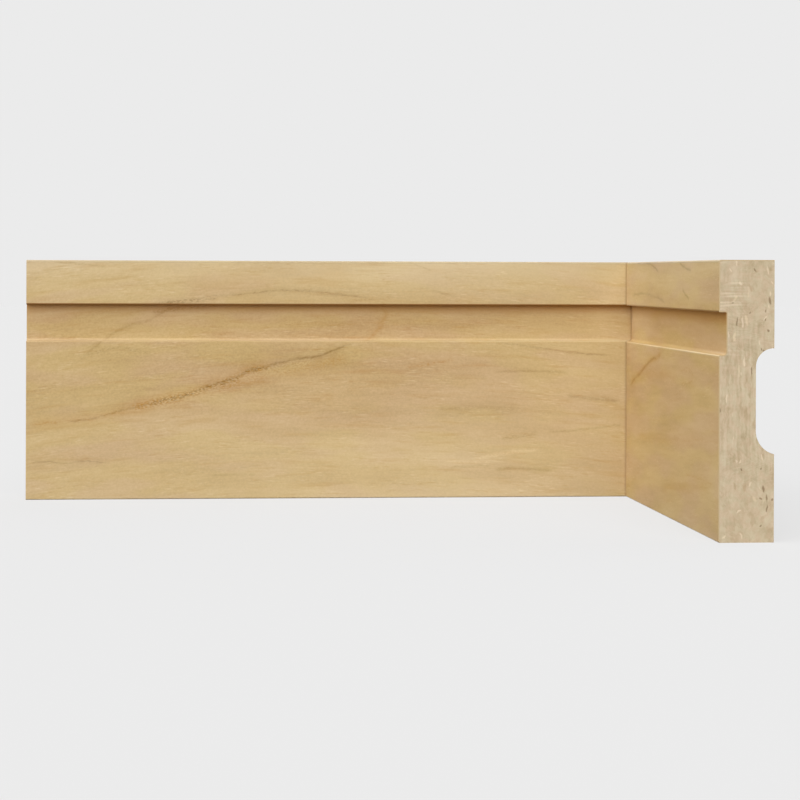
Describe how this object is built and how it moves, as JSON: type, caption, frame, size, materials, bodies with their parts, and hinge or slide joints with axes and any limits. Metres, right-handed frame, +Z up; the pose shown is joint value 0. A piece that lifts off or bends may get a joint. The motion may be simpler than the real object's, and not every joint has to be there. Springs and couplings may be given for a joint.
{
  "type": "skirting board inside corner sample",
  "caption": "Free-standing inside corner of wood-grain skirting board: mitred lengths with a shadow groove along the front and a cable channel in the back.",
  "frame": {"origin": "the corner of the room: where the two wall planes behind the boards meet the floor", "axes": "+X right along the long board, which lies at negative X, +Y into the wall behind the long board, +Z up; the return runs along -Y with the wall behind it on its +X side"},
  "size_m": [0.219, 0.136, 0.08],
  "materials": {
    "chipboard": "matte",
    "foil": "satin"
  },
  "bodies": {
    "root": {"long_board_core": "chipboard", "long_board_foil": "foil", "return_board_core": "chipboard", "return_board_foil": "foil"}
  },
  "joints": []
}
